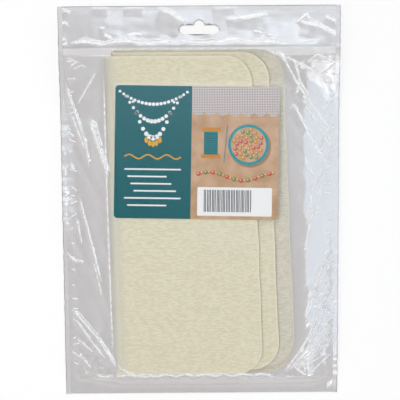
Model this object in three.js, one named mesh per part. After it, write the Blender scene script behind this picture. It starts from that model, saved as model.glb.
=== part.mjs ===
// Two soft craft mats, nested and folded in half together, with an insert card on top of
// them in a clear hang bag. The pack lies on its back. Sizes are in millimetres: +X is to the
// right, +Y runs up the bag to its header and +Z is up from the table.
import * as THREE from 'three';

const { degToRad, lerp, smoothstep } = THREE.MathUtils;

// Mats, one cut size for both
const matLength = 203.2; // along the fold
const matCutWidth = 210; // across the fold, laid open
const matCornerRadius = 17;
const pileDepth = 0.2;
const foamDepth = 0.7;
const scrimDepth = 0.2;
const bondLine = 0.05; // adhesive between two plies
const matLean = 1.7; // degrees that the folded edges lean from the bag's own axis

// How the two mats are folded into each other
const outerFrontReach = 94.4; // fold to the free edge of the front leaf
const innerFrontReach = 100.3;
const foldSetback = 2.3; // inner mat's fold behind the inside of the outer fold
const innerRaise = 2.6; // inner mat above the outer mat
const innerSkew = 2; // inner mat's back leaf above its front leaf

// Insert card
const cardWidth = 104.8;
const cardHeight = 84.9;
const cardBoard = 0.4;
const cardCornerRadius = 2.3;
const cardTurn = -1.2; // degrees
const cardInset = 4.6; // fold of the outer mat to the card's left edge
const cardDrop = 25; // header seal to the card's top edge

// Bag film and the room that it leaves round the contents
const filmGauge = 0.15;
const filmGap = 0.1; // air between two films that lie together
const restGap = 0.3; // air between two pieces that rest on each other
const sideAllowance = 29.5;
const bottomAllowance = 13;
const mouthAllowance = 0.5; // outer mat's top edge to the free edge of the back panel
const mouthLip = 5.1; // free edge of the back panel to the header seal
const headerDepth = 26.2;
const headerFlare = 6.6; // header wider than the bottom, where the contents draw the film in
const stackOffset = -0.8; // contents left of the bag's middle

// Welds, seals and folds of the film
const weldWidth = 3;
const sealWidth = 3;
const foldRadius = 0.7;
const weldHeight = 4.5; // side welds above the table, along the contents
const weldCornerRun = 34; // length over which a weld comes down to the bottom fold
const weldMouthRun = 46; // length over which a weld climbs to the header
const drapeEase = 0.6; // share of rounding in the film's fall, the rest is a straight slope

// Hang slot
const slotWidth = 25.1;
const slotHeight = 5.9;
const slotDrop = 15.3; // top edge to the slot's centre line
const crownWidth = 6.4;
const crownRise = 3.2;

// Facets
const cornerSteps = 7;
const foldSteps = 12;
const slotSteps = 8;
const fallSteps = 7;
const plateauSteps = 4;
const cornerRunSteps = 3;
const bodySteps = 4;

// Heights of the stack, from the table up: the inner mat's two leaves between the outer mat's two
const matThickness = 2 * pileDepth + 2 * foamDepth + scrimDepth + 4 * bondLine;
const leafPitch = matThickness + restGap;
const stackBase = filmGauge + restGap;
const outerFoldRadius = (4 * leafPitch - restGap) / 2;
const innerFoldRadius = (2 * leafPitch - restGap) / 2;
const foldLevel = stackBase + outerFoldRadius;
const cardLevel = stackBase + 4 * leafPitch;
const filmLevel = cardLevel + cardBoard + restGap;
const headerThickness = 2 * filmGauge + filmGap;

// The straight length of a folded mat's back leaf is what the fold and the front leaf leave over
const backStraight = (frontReach, foldRadiusOutside) => {
  const middleRadius = foldRadiusOutside - matThickness / 2;
  return matCutWidth - Math.PI * middleRadius - (frontReach - foldRadiusOutside);
};
const outerBackReach = outerFoldRadius + backStraight(outerFrontReach, outerFoldRadius);
const innerBackReach = innerFoldRadius + backStraight(innerFrontReach, innerFoldRadius);
const innerFoldInset = matThickness + foldSetback;
const stackWidth = Math.max(outerBackReach, innerFoldInset + innerBackReach);

// Bag outline, worked out from the contents and the room round them
const bottomWidth = stackWidth + 2 * sideAllowance;
const headerWidth = bottomWidth + headerFlare;
const bagHeight = bottomAllowance + matLength + mouthAllowance + mouthLip + headerDepth;
const bagTop = bagHeight / 2;
const bagBottom = -bagTop;
const sealY = bagTop - headerDepth;
const mouthY = sealY - mouthLip;
const filmBottomY = bagBottom + foldRadius + filmGap;
const filmTopY = sealY - sealWidth / 2 - filmGap;
const contentsBottomY = bagBottom + bottomAllowance;
const plateauBottom = contentsBottomY - restGap;
const cornerEnd = bagBottom + weldCornerRun;
const mouthStart = sealY - weldMouthRun;
const outerFoldX = stackOffset - stackWidth / 2;
const leanSlope = Math.tan(degToRad(matLean));
const leanShift = (y) => -y * leanSlope;
const halfWidthAt = (y) => lerp(bottomWidth, headerWidth, (y - bagBottom) / bagHeight) / 2;
const filmEdgeAt = (y) => halfWidthAt(y) - weldWidth - filmGap;

// Place of the card on the stack
const cardCentreY = sealY - cardDrop - cardHeight / 2;
const cardCentreX = outerFoldX + leanShift(cardCentreY) + cardInset + cardWidth / 2;
const cardHalfSpan = (cardWidth * Math.cos(degToRad(cardTurn))
  + cardHeight * Math.abs(Math.sin(degToRad(cardTurn)))) / 2;

const spaced = (from, to, steps) =>
  Array.from({ length: steps + 1 }, (_, k) => lerp(from, to, k / steps));

// Closed sheet between two grids of points, rows by columns, with the upper grid facing out
function closedSheet(lower, upper) {
  const rows = lower.length;
  const columns = lower[0].length;
  const points = [...lower.flat(), ...upper.flat()];
  const under = (i, j) => i * columns + j;
  const over = (i, j) => rows * columns + i * columns + j;
  const index = [];
  const quad = (a, b, c, d) => index.push(a, b, c, a, c, d);
  for (let i = 0; i + 1 < rows; i += 1) {
    for (let j = 0; j + 1 < columns; j += 1) {
      quad(over(i, j), over(i + 1, j), over(i + 1, j + 1), over(i, j + 1));
      quad(under(i, j), under(i, j + 1), under(i + 1, j + 1), under(i + 1, j));
    }
    const last = columns - 1;
    quad(under(i, 0), under(i + 1, 0), over(i + 1, 0), over(i, 0));
    quad(under(i + 1, last), under(i, last), over(i, last), over(i + 1, last));
  }
  for (let j = 0; j + 1 < columns; j += 1) {
    const last = rows - 1;
    quad(under(0, j + 1), under(0, j), over(0, j), over(0, j + 1));
    quad(under(last, j), under(last, j + 1), over(last, j + 1), over(last, j));
  }
  const geometry = new THREE.BufferGeometry().setFromPoints(points);
  geometry.setIndex(index);
  geometry.computeVertexNormals();
  return geometry;
}

// Grid moved out along its own surface by the thickness of the film
function offsetGrid(grid, distance) {
  const rows = grid.length;
  const columns = grid[0].length;
  return grid.map((row, i) => row.map((point, j) => {
    const along = grid[Math.min(i + 1, rows - 1)][j].clone().sub(grid[Math.max(i - 1, 0)][j]);
    const across = row[Math.min(j + 1, columns - 1)].clone().sub(row[Math.max(j - 1, 0)]);
    const normal = along.cross(across).normalize();
    return point.clone().addScaledVector(normal, distance);
  }));
}

const filmSheet = (grid) => closedSheet(grid, offsetGrid(grid, filmGauge));

// Height of the side welds: down at the bottom fold, up at the header
function weldHeightAt(y) {
  const headerMiddle = filmLevel + headerThickness / 2;
  const fromBottom = smoothstep(y, bagBottom, cornerEnd);
  const toHeader = smoothstep(y, mouthStart, sealY);
  return lerp(lerp(foldRadius, weldHeight, fromBottom), headerMiddle, toHeader);
}

// Fall of the film from the edge of the contents (0) to a weld or fold (1)
const fall = (t) => lerp(t, (1 - Math.cos(Math.PI * t)) / 2, drapeEase);

// Columns of a panel at one height: weld, edge of the contents, other edge, weld
function panelColumns(y, leftEdge, rightEdge, middleSteps) {
  const weldEdge = filmEdgeAt(y);
  const left = spaced(1, 0, fallSteps).map((t) => ({ x: lerp(leftEdge, -weldEdge, t), t }));
  const right = spaced(0, 1, fallSteps).map((t) => ({ x: lerp(rightEdge, weldEdge, t), t }));
  const middle = spaced(leftEdge, rightEdge, middleSteps).slice(1, -1).map((x) => ({ x, t: 0 }));
  return [...left, ...middle, ...right];
}

const transposed = (grid) => grid[0].map((_, j) => grid.map((row) => row[j]));

// Heights at which both panels and the welds have their points, from the bottom to the mouth
const filmRows = [
  ...spaced(filmBottomY, plateauBottom, fallSteps),
  ...spaced(plateauBottom, cornerEnd, cornerRunSteps).slice(1),
  ...spaced(cornerEnd, mouthStart, bodySteps).slice(1),
  ...spaced(mouthStart, mouthY, fallSteps).slice(1),
];

function frontPanelGeometry() {
  const plateauLeft = (y) => outerFoldX + outerFoldRadius + leanShift(y);
  const plateauRight = cardCentreX + cardHalfSpan + restGap;
  const lip = 2 * foldRadius - filmGauge;
  const grid = [...filmRows, filmTopY].map((y) => {
    const weldLevel = weldHeightAt(y) + filmGap / 2;
    const down = Math.max(0, (plateauBottom - y) / (plateauBottom - filmBottomY));
    return panelColumns(y, plateauLeft(y), plateauRight, plateauSteps).map(({ x, t }) => {
      const section = lerp(filmLevel, weldLevel, fall(t));
      return new THREE.Vector3(x, y, lerp(section, lip, fall(down)));
    });
  });
  return filmSheet(transposed(grid));
}

function backPanelGeometry() {
  const flatLeft = (y) => outerFoldX + outerFoldRadius + leanShift(y);
  const flatRight = (y) => outerFoldX + outerBackReach + leanShift(y);
  const grid = filmRows.map((y) => {
    const weldLevel = weldHeightAt(y) - filmGap / 2 - filmGauge;
    return panelColumns(y, flatLeft(y), flatRight(y), 1)
      .map(({ x, t }) => new THREE.Vector3(x, y, weldLevel * fall(t)));
  });
  return filmSheet(transposed(grid));
}

// The film turns up round the bottom edge in a half circle
function bottomFoldGeometry() {
  const turns = spaced(-Math.PI / 2, -3 * Math.PI / 2, foldSteps);
  const halfWidth = filmEdgeAt(bagBottom);
  const wall = (radius) => [-halfWidth, halfWidth].map((x) => turns.map((turn) => new THREE.Vector3(
    x,
    bagBottom + foldRadius + radius * Math.cos(turn),
    foldRadius + radius * Math.sin(turn),
  )));
  return closedSheet(wall(foldRadius - filmGauge), wall(foldRadius));
}

// Fused edge of the bag, side is -1 for the left and 1 for the right
function sideWeldGeometry(side) {
  const rowHeights = [bagBottom, ...filmRows, sealY, bagTop];
  const face = (offset) => [0, weldWidth].map((step) => rowHeights.map((y) => {
    const innerX = side * (halfWidthAt(y) - weldWidth);
    const x = side > 0 ? innerX + step : innerX - weldWidth + step;
    return new THREE.Vector3(x, y, weldHeightAt(y) + offset);
  }));
  return closedSheet(face(-headerThickness / 2), face(headerThickness / 2));
}

// Flat band across the bag between two heights, as wide as the film is there
function bandShape(fromY, toY) {
  return new THREE.Shape([
    new THREE.Vector2(-filmEdgeAt(fromY), fromY),
    new THREE.Vector2(filmEdgeAt(fromY), fromY),
    new THREE.Vector2(filmEdgeAt(toY), toY),
    new THREE.Vector2(-filmEdgeAt(toY), toY),
  ]);
}

function plate(shape, thickness, height) {
  const options = { depth: thickness, bevelEnabled: false, curveSegments: slotSteps };
  return new THREE.ExtrudeGeometry(shape, options).translate(0, 0, height);
}

// Round-ended slot with a raised crown in its middle, which centres the pack on a peg
function hangSlotPath() {
  const endRadius = slotHeight / 2;
  const endX = slotWidth / 2 - endRadius;
  const centreY = bagTop - slotDrop;
  const crownRadius = crownWidth / 2;
  const crownY = centreY + endRadius + crownRise - crownRadius;
  const path = new THREE.Path();
  path.moveTo(-endX, centreY - endRadius);
  path.lineTo(endX, centreY - endRadius);
  path.absarc(endX, centreY, endRadius, -Math.PI / 2, Math.PI / 2);
  path.lineTo(crownRadius, centreY + endRadius);
  path.absarc(0, crownY, crownRadius, 0, Math.PI);
  path.lineTo(-crownRadius, centreY + endRadius);
  path.absarc(-endX, centreY, endRadius, Math.PI / 2, 3 * Math.PI / 2);
  return path;
}

function headerPlyGeometry(height) {
  const shape = bandShape(sealY + sealWidth / 2 + filmGap, bagTop - sealWidth - filmGap);
  shape.holes.push(hangSlotPath());
  return plate(shape, filmGauge, height);
}

function cardGeometry() {
  const halfWidth = cardWidth / 2;
  const halfHeight = cardHeight / 2;
  const insideX = halfWidth - cardCornerRadius;
  const insideY = halfHeight - cardCornerRadius;
  const shape = new THREE.Shape();
  shape.absarc(insideX, insideY, cardCornerRadius, 0, Math.PI / 2);
  shape.absarc(-insideX, insideY, cardCornerRadius, Math.PI / 2, Math.PI);
  shape.absarc(-insideX, -insideY, cardCornerRadius, Math.PI, 3 * Math.PI / 2);
  shape.absarc(insideX, -insideY, cardCornerRadius, 3 * Math.PI / 2, 2 * Math.PI);
  return plate(shape, cardBoard, 0);
}

// Stations along a folded mat, from the free edge of the back leaf round the fold to the free
// edge of the front leaf. run is the distance from the fold's axis along a leaf, turn is the
// way that the outside faces there, trim is what the rounded corner takes off each end and
// lift is how far that part of the mat has slipped up along the fold.
function matStations(frontStraight, backLeaf, skew) {
  const corner = spaced(0, Math.PI / 2, cornerSteps).map((angle) => ({
    fromEdge: matCornerRadius * (1 - Math.cos(angle)),
    trim: matCornerRadius * (1 - Math.sin(angle)),
  }));
  const leaf = (straight, turn, lift) =>
    corner.map(({ fromEdge, trim }) => ({ run: straight - fromEdge, turn, trim, lift }));
  const bend = spaced(0, 1, foldSteps).map((share) => ({
    run: 0,
    turn: -Math.PI / 2 - Math.PI * share,
    trim: 0,
    lift: skew * (1 - share),
  }));
  const back = leaf(backLeaf, -Math.PI / 2, skew);
  const front = leaf(frontStraight, Math.PI / 2, 0).reverse();
  return [...back, ...bend, ...front];
}

// One ply of a folded mat, between two depths below its outside face
function plyGeometry(mat, fromDepth, toDepth) {
  const surface = (depth) => mat.stations.map(({ run, turn, trim, lift }) => {
    const radius = mat.foldRadius - depth;
    const x = mat.foldX + mat.foldRadius + run + radius * Math.cos(turn);
    const z = foldLevel + radius * Math.sin(turn);
    return [mat.bottomY + trim + lift, mat.bottomY + matLength - trim + lift]
      .map((y) => new THREE.Vector3(x + leanShift(y), y, z));
  });
  return closedSheet(surface(toDepth), surface(fromDepth));
}

const clearFilm = new THREE.MeshStandardMaterial({
  color: 0xeef1f3, roughness: 0.1, metalness: 0, transparent: true, opacity: 0.35,
});
const fusedFilm = new THREE.MeshStandardMaterial({
  color: 0xe2e6e9, roughness: 0.3, metalness: 0, transparent: true, opacity: 0.6,
});
const printedBoard = new THREE.MeshStandardMaterial({ color: 0x1f6f72, roughness: 0.4, metalness: 0 });
const creamPile = new THREE.MeshStandardMaterial({ color: 0xdcd8b8, roughness: 0.95, metalness: 0 });
const creamFoam = new THREE.MeshStandardMaterial({ color: 0xe3ddc0, roughness: 0.9, metalness: 0 });
const whiteScrim = new THREE.MeshStandardMaterial({ color: 0xeeebdd, roughness: 0.85, metalness: 0 });

function addPiece(group, name, geometry, material) {
  const mesh = new THREE.Mesh(geometry, material);
  mesh.name = name;
  group.add(mesh);
  return mesh;
}

// Bag: two film panels, their fold and welds, and a two-ply header with the hang slot
const bag = new THREE.Group();
addPiece(bag, 'front_panel', frontPanelGeometry(), clearFilm);
addPiece(bag, 'back_panel', backPanelGeometry(), clearFilm);
addPiece(bag, 'bottom_fold', bottomFoldGeometry(), clearFilm);
addPiece(bag, 'left_side_weld', sideWeldGeometry(-1), fusedFilm);
addPiece(bag, 'right_side_weld', sideWeldGeometry(1), fusedFilm);
const headerSealShape = bandShape(sealY - sealWidth / 2, sealY + sealWidth / 2);
addPiece(bag, 'header_seal', plate(headerSealShape, headerThickness, filmLevel), fusedFilm);
addPiece(bag, 'header_back_ply', headerPlyGeometry(filmLevel), clearFilm);
addPiece(bag, 'header_front_ply', headerPlyGeometry(filmLevel + filmGauge + filmGap), clearFilm);
const topSealShape = bandShape(bagTop - sealWidth, bagTop);
addPiece(bag, 'header_top_seal', plate(topSealShape, headerThickness, filmLevel), fusedFilm);

// Insert card, lying a little askew on the front leaf
const insert = new THREE.Group();
insert.position.set(cardCentreX, cardCentreY, cardLevel);
insert.rotation.z = degToRad(cardTurn);
addPiece(insert, 'insert_card', cardGeometry(), printedBoard);

// Mats: flocked pile, foam, knitted scrim, foam and pile, from the outside of the fold inwards
const plies = [
  { name: 'face_pile', depth: pileDepth, material: creamPile },
  { name: 'face_foam', depth: foamDepth, material: creamFoam },
  { name: 'scrim', depth: scrimDepth, material: whiteScrim },
  { name: 'lining_foam', depth: foamDepth, material: creamFoam },
  { name: 'lining_pile', depth: pileDepth, material: creamPile },
];

function foldedMat(name, mat) {
  const group = new THREE.Group();
  let depth = 0;
  for (const ply of plies) {
    addPiece(group, `${name}_${ply.name}`, plyGeometry(mat, depth, depth + ply.depth), ply.material);
    depth += ply.depth + bondLine;
  }
  return group;
}

const outerMat = foldedMat('outer_mat', {
  foldX: outerFoldX,
  foldRadius: outerFoldRadius,
  bottomY: contentsBottomY,
  stations: matStations(outerFrontReach - outerFoldRadius, outerBackReach - outerFoldRadius, 0),
});
const innerMat = foldedMat('inner_mat', {
  foldX: outerFoldX + innerFoldInset,
  foldRadius: innerFoldRadius,
  bottomY: contentsBottomY + innerRaise,
  stations: matStations(
    innerFrontReach - innerFoldRadius,
    innerBackReach - innerFoldRadius,
    innerSkew,
  ),
});

const pack = new THREE.Group();
pack.add(bag, insert, outerMat, innerMat);

export default pack;
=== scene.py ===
from functools import partial
from math import cos, hypot, pi, radians, sin, sqrt
import bpy
import numpy as np
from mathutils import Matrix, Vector, geometry


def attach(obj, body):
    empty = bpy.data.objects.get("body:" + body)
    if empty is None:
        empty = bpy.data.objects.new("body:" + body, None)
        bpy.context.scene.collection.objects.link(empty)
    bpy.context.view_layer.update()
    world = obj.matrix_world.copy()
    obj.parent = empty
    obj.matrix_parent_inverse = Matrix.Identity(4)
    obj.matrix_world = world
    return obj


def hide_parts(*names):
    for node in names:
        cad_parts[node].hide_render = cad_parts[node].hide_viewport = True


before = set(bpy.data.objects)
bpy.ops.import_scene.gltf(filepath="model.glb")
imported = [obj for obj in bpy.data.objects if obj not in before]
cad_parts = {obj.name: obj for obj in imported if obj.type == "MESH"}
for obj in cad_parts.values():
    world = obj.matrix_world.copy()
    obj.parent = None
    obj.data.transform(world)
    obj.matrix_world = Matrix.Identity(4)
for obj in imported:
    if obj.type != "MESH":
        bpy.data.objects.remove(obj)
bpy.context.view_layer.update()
scene = bpy.context.scene
mm = 0.001


# sRGB hex to the linear colour that a socket takes
def linear(hexColour):
    channels = [int(hexColour[k:k + 2], 16) / 255 for k in (1, 3, 5)]
    return (*[c / 12.92 if c <= 0.04045 else ((c + 0.055) / 1.055) ** 2.4 for c in channels], 1.0)


# one node with its settings; each input is a value, a socket, or a node whose output in use is linked
def node(tree, kind, inputs=(), **settings):
    made = tree.nodes.new("ShaderNode" + kind)
    for key, value in settings.items():
        setattr(made, key, value)
    for socket, value in dict(inputs).items():
        if isinstance(value, bpy.types.Node):
            value = next(output for output in value.outputs if output.enabled)
        if isinstance(value, bpy.types.NodeSocket):
            tree.links.new(value, made.inputs[socket])
        else:
            made.inputs[socket].default_value = value
    return made


# an empty material, what adds a node to it, and the coordinates that its patterns run by
def newMaterial(name):
    material = bpy.data.materials.new(name)
    material.use_nodes = True
    tree = material.node_tree
    tree.nodes.clear()
    add = partial(node, tree)
    return material, add, add("TexCoord").outputs["Object"]


def addObject(name, data):
    made = bpy.data.objects.new(name, data)
    scene.collection.objects.link(made)
    return made


# the way to a place overhead: compass angle from +X, degrees from straight up
def skyWay(side, off):
    side, off = radians(side), radians(off)
    return Vector((sin(off) * cos(side), sin(off) * sin(side), cos(off)))


# camera straight above, as on a copy stand, turned a little with the pack
shot = {"span": 256.2, "away": 1200.0, "level": 5.5, "aim": (-0.26, 0.13), "roll": -0.404, "sensor": 36.0}
cameraData = bpy.data.cameras.new("copyStand")
cameraData.sensor_width = shot["sensor"]
cameraData.lens = shot["sensor"] * shot["away"] / shot["span"]
camera = addObject("copyStand", cameraData)
camera.location = Vector((*shot["aim"], shot["level"] + shot["away"])) * mm
camera.rotation_euler = (0, 0, radians(shot["roll"]))
scene.camera = camera

# softboxes: side and off as in skyWay, size in metres, brightness of the cloth against white paper, colour
softboxes = {
    "key": (205, 19, (1.1, 1.1), 5.1, "#fffdf9"),
    "fill": (75, 40, (1.6, 1.6), 1.1, "#fafcff"),
    "card_right": (2, 37, (1.2, 1.8), 3.5, "#cde9ff"),
    "card_top": (84, 27, (1.0, 2.4), 3.2, "#e2f1ff"),
    "glint_right": (40, 43, (0.7, 1.1), 1.1, "#ffffff"),
    "glint_top": (95, 41, (0.5, 1.4), 2.8, "#ffffff"),
    "glint_low": (324, 27, (0.7, 0.55), 5.0, "#ffffff"),
}
lamps = ("key", "fill")  # these light the pack; the others only show in the film's gloss
lampAway = 2.0
for name, (side, off, size, glow, colour) in softboxes.items():
    lamp = bpy.data.lights.new("softbox_" + name, "AREA")
    lamp.shape = "RECTANGLE"
    lamp.size, lamp.size_y = size
    lamp.color = linear(colour)[:3]
    lamp.energy = glow * pi * size[0] * size[1]
    holder = addObject("softbox_" + name, lamp)
    holder.rotation_euler = (0, radians(off), radians(side))
    holder.location = skyWay(side, off) * lampAway
    holder.visible_camera = False
    holder.visible_diffuse, holder.visible_glossy = name in lamps, name not in lamps

# room: white walls, grey near the floor, under a dark ceiling, so flat film shows no glare; its clouds are
# patches of light that the header's film mirrors: side, off, reach in degrees, glow
room = {
    "wall": "#d9d9db", "skirting": "#959597", "foot": (0.2, 0.4), "ceiling": "#202022", "climb": (0.55, 0.95),
    "cloud": "#d2e9ff", "clouds": ((50, 13.5, 12.5, 2.0), (112, 8.0, 7.5, 1.2)),
}
world = bpy.data.worlds.new("studio")
scene.world = world
world.use_nodes = True
world.node_tree.nodes.clear()
add = partial(node, world.node_tree)
way = add("TexCoord").outputs["Generated"]
height = add("SeparateXYZ", {0: way}).outputs["Z"]
foot, climb = (add("MapRange", {"Value": height, "From Min": room[k][0], "From Max": room[k][1]},
                   interpolation_type="SMOOTHSTEP") for k in ("foot", "climb"))
wall = add("Mix", {0: foot, 6: linear(room["skirting"]), 7: linear(room["wall"])}, data_type="RGBA")
sky = add("Mix", {0: climb, 6: wall, 7: linear(room["ceiling"])}, data_type="RGBA")
for side, off, reach, glow in room["clouds"]:
    near = add("VectorMath", {0: way, 1: skyWay(side, off)}, operation="DOT_PRODUCT").outputs["Value"]
    cloud = add("MapRange", {"Value": near, "From Min": cos(radians(reach)), "From Max": 1.0, "To Max": glow},
                interpolation_type="SMOOTHSTEP")
    sky = add("VectorMath", {0: linear(room["cloud"])[:3], 1: cloud, 2: sky}, operation="MULTIPLY_ADD")
light = add("Background", {"Color": sky, "Strength": 1.0})
add("OutputWorld", {0: light})

# table: matt white laminate near the pack, which keeps the soft shadow, and a glowing sweep further out
table = {"colour": "#ffffff", "half": 3.0, "drop": 0.2, "near": 0.22, "far": 0.5, "glow": 0.65}
material, add, spot = newMaterial("white laminate table")
away = add("VectorMath", {0: spot}, operation="LENGTH").outputs["Value"]
blendOut = add("MapRange", {"Value": away, "From Min": table["near"], "From Max": table["far"],
                            "To Min": table["glow"]}, interpolation_type="SMOOTHSTEP")
matt = add("BsdfDiffuse", {"Color": linear(table["colour"]), "Roughness": 0.4})
glow = add("Emission", {"Color": linear(table["colour"]), "Strength": 1.0})
both = add("MixShader", {0: blendOut, 1: matt, 2: glow})
add("OutputMaterial", {0: both})
half, drop = table["half"], -table["drop"] * mm
mesh = bpy.data.meshes.new("table")
square = [(-half, -half, drop), (half, -half, drop), (half, half, drop), (-half, half, drop)]
mesh.from_pydata(square, [], [(0, 1, 2, 3)])
mesh.materials.append(material)
floor = addObject("table", mesh)
scene.view_settings.view_transform = "Standard"
scene.cycles.transparent_max_bounces = 32  # light crosses up to eight film faces each way
print("studio ready")


# a thin closed sheet from its two faces, point for point; its border becomes the cut edge
def closedSheet(name, lower, upper, faces, material, crisp=55):
    lower, upper = np.asarray(lower, float).reshape(-1, 3), np.asarray(upper, float).reshape(-1, 3)
    faces = np.asarray(faces)
    count = len(lower)
    edges = np.stack([faces, np.roll(faces, -1, axis=1)], -1).reshape(-1, 2)
    key = edges.min(1) * count + edges.max(1)
    _, back, uses = np.unique(key, return_inverse=True, return_counts=True)
    rim = edges[uses[back] == 1]
    walls = np.stack([rim[:, 0], rim[:, 1], rim[:, 1] + count, rim[:, 0] + count], -1)
    allFaces = (faces + count).tolist() + faces[:, ::-1].tolist() + walls.tolist()
    mesh = bpy.data.meshes.new(name)
    mesh.from_pydata((np.concatenate([lower, upper]) * mm).tolist(), [], allFaces)
    mesh.polygons.foreach_set("use_smooth", np.arange(len(allFaces)) < 2 * len(faces))
    mesh.materials.append(material)
    mesh.validate()
    mesh.update()
    mesh.set_sharp_from_angle(angle=radians(crisp))  # a cut edge or a fold stays crisp
    return addObject(name, mesh)


# counterclockwise quads of a grid of rows by columns
def gridFaces(rows, columns):
    k = np.arange(rows * columns).reshape(rows, columns)
    return np.stack([k[:-1, :-1], k[:-1, 1:], k[1:, 1:], k[1:, :-1]], -1).reshape(-1, 4)


def ease(start, end, value):
    t = np.clip((value - start) / (end - start), 0, 1)
    return t * t * (3 - 2 * t)


def mix(a, b, t):
    return a + (b - a) * t


# soft random swell with about one crest a wavelength, from -1 to 1, the same each run
def swell(x, y, wavelength, seed, stretch=1.0, turn=0.0, waves=9):
    dice = np.random.RandomState(seed)
    c, s = cos(radians(turn)), sin(radians(turn))
    along, across = (x * c + y * s) / stretch, y * c - x * s
    total = 0
    for _ in range(waves):
        angle, phase = dice.uniform(0, 2 * pi, 2)
        pace = 2 * pi / wavelength * dice.uniform(0.6, 1.5)
        total = total + np.sin(pace * (along * cos(angle) + across * sin(angle)) + phase)
    return np.clip(total / sqrt(waves) / 1.5, -1, 1)


# film that has been crushed: flat facets that meet in sharp ridges, 0 to 1
def crumple(x, y, wavelength, seed, **how):
    return 1 - np.sqrt(swell(x, y, wavelength, seed, **how) ** 2 + 0.0012)


# a crease turns its steep side to the glint cards, and one with a minus slope turns it away
glintSide = radians(60)
glintWay = np.array([cos(glintSide), sin(glintSide)])
# for each zone, how much flatter a crease's other side runs out, and how far the painted glint along its
# crest reaches
backRun = {"left": 2.6, "right": 5.0, "back": 2.4, "header": 6.0}
paintedGlintReach = {"left": 0.9, "right": 1.05, "back": 1.0, "header": 1.2}
rightFrom = 45  # a front crease that starts beyond this X is in the right zone


def zoneOf(part, path):
    return part if part in backRun else "left" if path[0][0] < rightFrom else "right"


# distance to a crease, how much of its height is left there, and the distance on its steep side
def along(x, y, path, way):
    path = np.asarray(path, float)
    lengths = np.linalg.norm(np.diff(path, axis=0), axis=1)
    total, done = lengths.sum(), 0.0
    nearest, place, side = np.full(x.shape, 1e9), np.zeros(x.shape), np.ones(x.shape)
    for a, b, length in zip(path[:-1], path[1:], lengths):
        run = (b - a) / length
        normal = np.array([-run[1], run[0]])
        normal = normal if normal @ way > 0 else -normal
        t = np.clip(((x - a[0]) * run[0] + (y - a[1]) * run[1]) / length, 0, 1)
        d = np.hypot(x - a[0] - t * (b[0] - a[0]), y - a[1] - t * (b[1] - a[1]))
        closer = d < nearest
        nearest = np.where(closer, d, nearest)
        place = np.where(closer, (done + t * length) / total, place)
        side = np.where(closer, (x - a[0]) * normal[0] + (y - a[1]) * normal[1], side)
        done += length
    fade = 0.16  # share of its length over which a crease dies out at each end
    return nearest, ease(0, fade, place) * ease(0, fade, 1 - place), side


# points on a crease's crest and along its two feet, so that the mesh folds where the film does
pointStep = 0.6


def creasePoints(part):
    points = [np.zeros((0, 2))]
    for path, slope, width in creases[part]:
        runOut = backRun[zoneOf(part, path)]
        path = np.asarray(path, float)
        lengths = np.r_[0, np.cumsum(np.linalg.norm(np.diff(path, axis=0), axis=1))]
        run = np.linspace(0, lengths[-1], max(4, int(lengths[-1] / pointStep)))
        line = np.stack([np.interp(run, lengths, path[:, k]) for k in (0, 1)], -1)
        way = np.gradient(line, axis=0)
        normal = np.stack([-way[:, 1], way[:, 0]], -1) / np.linalg.norm(way, axis=1)[:, None]
        normal = normal * np.where(normal @ glintWay * slope > 0, 1, -1)[:, None]
        feet = (0, 0.5, 1.0, 1.35, -0.5, -0.6 * runOut, -runOut)
        points += [line + normal * width * foot for foot in feet]
    return np.concatenate(points)


# bag: the sizes that it was cut to and where its contents lie, in millimetres
bag = {
    "top": 124.0, "bottomWidth": 173.97, "headerWidth": 180.57, "weld": 3.0, "gauge": 0.06, "fold": 0.7,
    "sealY": 97.8, "sealWidth": 3.0, "sealGauge": 0.2, "lipY": 92.7, "bottomY": -123.2, "contentsY": -112.9,
    "cornerEnd": -90.0, "mouthStart": 51.8, "weldHeight": (2.5, 4.5), "level": 11.15, "headerGap": 0.25,
    "lap": 0.06, "lean": 0.02968, "foldX": -58.29, "foldRadius": 4.85, "backRight": 55.23,
    "plateauRight": 57.0,
    "slot": {"width": 25.1, "height": 5.9, "y": 108.7, "crownWidth": 6.4, "crownRise": 3.2},
}
leftEdge = bag["foldX"] + bag["foldRadius"]  # where the film leaves the mats' folded side


def halfWidth(y):
    return mix(bag["bottomWidth"], bag["headerWidth"], (y + bag["top"]) / (2 * bag["top"])) / 2


# where the panels end, a little way into the welds
def filmEdge(y):
    return halfWidth(y) - bag["weld"] + bag["lap"]


def weldLevel(x, y):
    low = mix(bag["fold"], np.where(x > 0, *bag["weldHeight"][::-1]), ease(-bag["top"], bag["cornerEnd"], y))
    return mix(low, bag["level"] + 0.2, ease(bag["mouthStart"], bag["sealY"], y))


def fall(t):
    return mix(t, (1 - np.cos(pi * t)) / 2, 0.6)


# the front film hugs the edge of the contents, then runs out flatter to the weld
def hug(t):
    return mix(1 - (1 - t) ** 2.5, fall(t), 0.3)


# on the right it leaves the mats nearly level, then falls straight to the weld
def slide(t):
    level = 0.05 * t + 0.58 * t * t
    turn = 0.067 + 0.4 * (t - 0.3) + 2.72 * (t - 0.3) ** 2
    straight = 0.256 + 1.488 * (t - 0.5)
    return np.where(t < 0.3, level, np.where(t < 0.5, turn, straight))


# how the film moved as a whole, in mm: puckers along the welds, a slack swell in the left and right flap, a
# lifted header seal, and a left weld that curls up
slack = {
    "pucker": 0.26, "puckerReach": 4.5, "puckerWaves": (4.6, 10.0), "swell": (0.6, 0.3), "swellWave": 38.0,
    "seal": 1.9, "sealReach": 34, "header": 0.6, "headerWave": 60.0, "curl": 1.9, "curlReach": 9,
    "curlWave": 9.0,
}


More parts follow.
